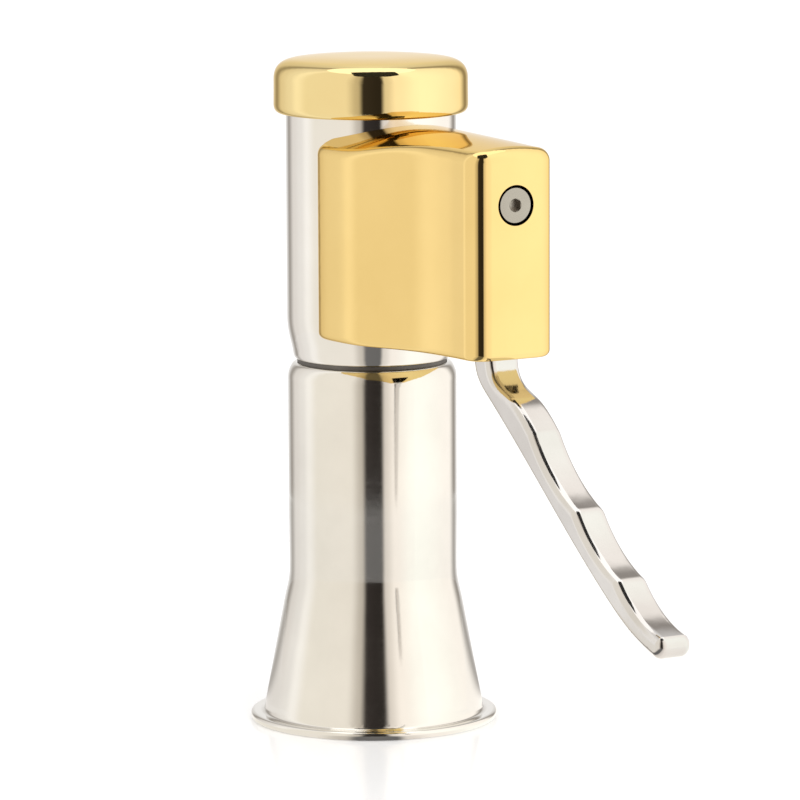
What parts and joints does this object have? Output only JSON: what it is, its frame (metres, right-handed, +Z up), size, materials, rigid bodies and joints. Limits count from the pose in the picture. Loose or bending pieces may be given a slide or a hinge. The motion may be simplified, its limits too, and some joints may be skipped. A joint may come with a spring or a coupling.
{
  "type": "lever cork puller",
  "caption": "Bell-shaped sparkling-wine cork puller: a squeeze lever in a side housing lifts a sliding carrier whose jaws grip the cork.",
  "frame": {"origin": "on the tube axis in the plane of the foot ring's underside, at the centre of the bell's mouth", "axes": "+Z up along the tube axis, +X from the axis towards the housing and lever, lever pivot axis along Y"},
  "size_m": [0.154, 0.0556, 0.1497],
  "materials": {
    "gold": "mirror polished gold plate",
    "steel": "polished stainless steel, fine lengthwise brushing",
    "seam": "dull turned steel in the seam groove",
    "lever_chrome": "bright polished chrome plate on cast zinc",
    "plate": "zinc-plated steel plate",
    "fastener": "satin stainless",
    "spring": "spring steel",
    "bronze": "oil bronze",
    "jaw": "hardened steel",
    "acetal": "natural acetal",
    "rubber": "black nitrile"
  },
  "bodies": {
    "frame": {"bell_body": "steel", "joint_ring": "seam", "upper_tube": "steel", "guide_sleeve": "acetal", "cap": "gold", "cap_plug": "acetal", "plug_ring": "rubber", "cap_screw": "fastener", "housing_cover": "gold", "cover_screw": "fastener", "bracket": "plate", "bracket_rivets": "fastener", "pivot_pin": "fastener", "pivot_clips": "spring", "return_spring": "spring"},
    "lever": {"lever": "lever_chrome", "fork_arm_left": "plate", "fork_arm_right": "plate", "fork_rivets": "fastener", "pivot_bushes": "bronze"},
    "carrier": {"carrier": "plate", "lug_pins": "fastener", "lug_rollers": "fastener", "jaw_pins": "fastener", "spring_washer": "plate"},
    "jaw_a": {"jaw_a": "jaw"},
    "jaw_b": {"jaw_b": "jaw"},
    "jaw_c": {"jaw_c": "jaw"}
  },
  "joints": [
    {"name": "lever_squeeze", "type": "hinge", "parent": "frame", "child": "lever", "pos_m": [0.0543, 0, 0.1125], "axis": [0, 1, 0], "range_deg": [0, 39], "stiffness_Nm_per_rad": 0.12, "springref_deg": -40.11},
    {"name": "carrier_lift", "type": "slide", "parent": "frame", "child": "carrier", "axis": [0, 0, 1], "range_m": [0, 0.0241], "deforming": ["return_spring"]},
    {"name": "jaw_a_close", "type": "hinge", "parent": "carrier", "child": "jaw_a", "pos_m": [0.0136, 0, 0.103], "axis": [0, 1, 0], "range_deg": [0, 9.2]},
    {"name": "jaw_b_close", "type": "hinge", "parent": "carrier", "child": "jaw_b", "pos_m": [-0.0068, 0.01178, 0.103], "axis": [-0.866, -0.5, 0], "range_deg": [0, 9.2]},
    {"name": "jaw_c_close", "type": "hinge", "parent": "carrier", "child": "jaw_c", "pos_m": [-0.0068, -0.01178, 0.103], "axis": [0.866, -0.5, 0], "range_deg": [0, 9.2]}
  ],
  "couplings": [
    {"joint": "carrier_lift", "follows": "lever_squeeze", "m_per_rad": 0.03539},
    {"joint": "jaw_a_close", "follows": "lever_squeeze", "ratio": 0.23587},
    {"joint": "jaw_b_close", "follows": "lever_squeeze", "ratio": 0.23587},
    {"joint": "jaw_c_close", "follows": "lever_squeeze", "ratio": 0.23587}
  ]
}
